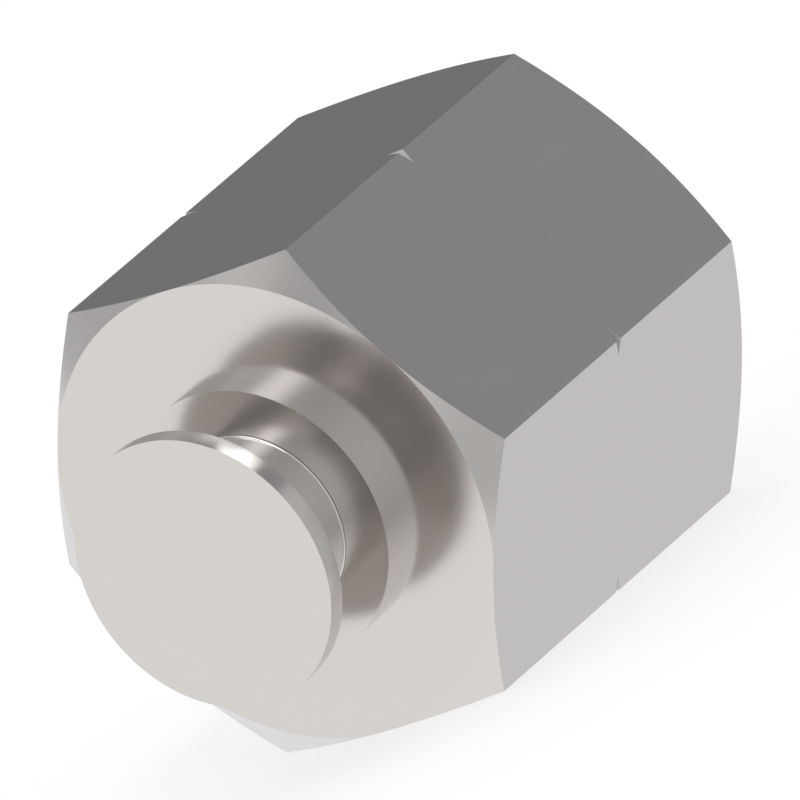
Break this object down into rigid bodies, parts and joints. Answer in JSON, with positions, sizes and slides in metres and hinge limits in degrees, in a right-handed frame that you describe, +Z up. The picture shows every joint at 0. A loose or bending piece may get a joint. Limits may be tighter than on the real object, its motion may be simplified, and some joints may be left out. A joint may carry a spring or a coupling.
{
  "type": "threaded plug",
  "caption": "Hexagonal metal plug with a blind threaded socket in its rear face and, on its front face, a grooved knob that holds a chain or lanyard.",
  "frame": {"origin": "under the middle of the part's length, on the flat of the hexagon that it lies on", "axes": "+Y along the thread's axis and out of the socket's mouth, -Y towards the knob, +Z up from the flat it lies on, +X towards a corner of the hexagon"},
  "size_m": [0.033, 0.0366, 0.0286],
  "materials": {
    "machined_steel": "fine-turned and drawn stainless steel, satin to bright, with sharp machined edges"
  },
  "bodies": {
    "root": {"plug_body": "machined_steel"}
  },
  "joints": []
}
